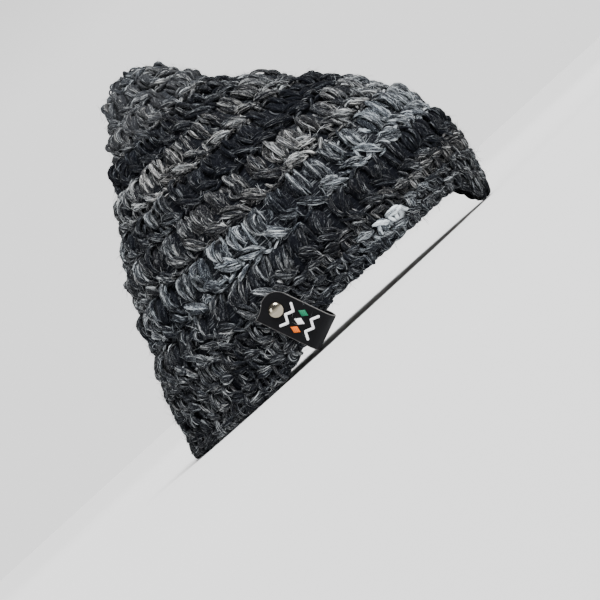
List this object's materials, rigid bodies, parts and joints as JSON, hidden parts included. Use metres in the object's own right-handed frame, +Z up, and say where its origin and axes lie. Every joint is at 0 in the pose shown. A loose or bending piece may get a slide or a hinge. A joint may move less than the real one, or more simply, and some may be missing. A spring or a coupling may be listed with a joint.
{
  "type": "crochet beanie",
  "caption": "Bulky pointed crochet beanie standing on its rim: puffy bean-stitch rounds drawn in to a rounded nub, a single-crochet brim band, and a leather tag riveted round the rim.",
  "frame": {"origin": "middle of the hat's box, on the surface that the rim stands on", "axes": "+Z up, +X towards the front of the hat, +Y towards the wearer's left, so the tag is on the -Y side"},
  "size_m": [0.2494, 0.1956, 0.201],
  "materials": {
    "band_yarn": "heathered charcoal bulky yarn, single crochet",
    "body_yarn": "bulky yarn shading from black to cool pale grey, bean stitch",
    "crown_yarn": "bulky yarn shading from black to warm off-white, bean stitch",
    "tip_yarn": "heathered mid-grey bulky yarn, bean stitch",
    "leather": "black, semi-matt, with raw cut edges",
    "nickel": "polished nickel"
  },
  "bodies": {
    "root": {"brim_band": "band_yarn", "body": "body_yarn", "crown": "crown_yarn", "tip": "tip_yarn", "tag": "leather", "rivet_cap": "nickel", "rivet_post": "nickel"}
  },
  "joints": []
}
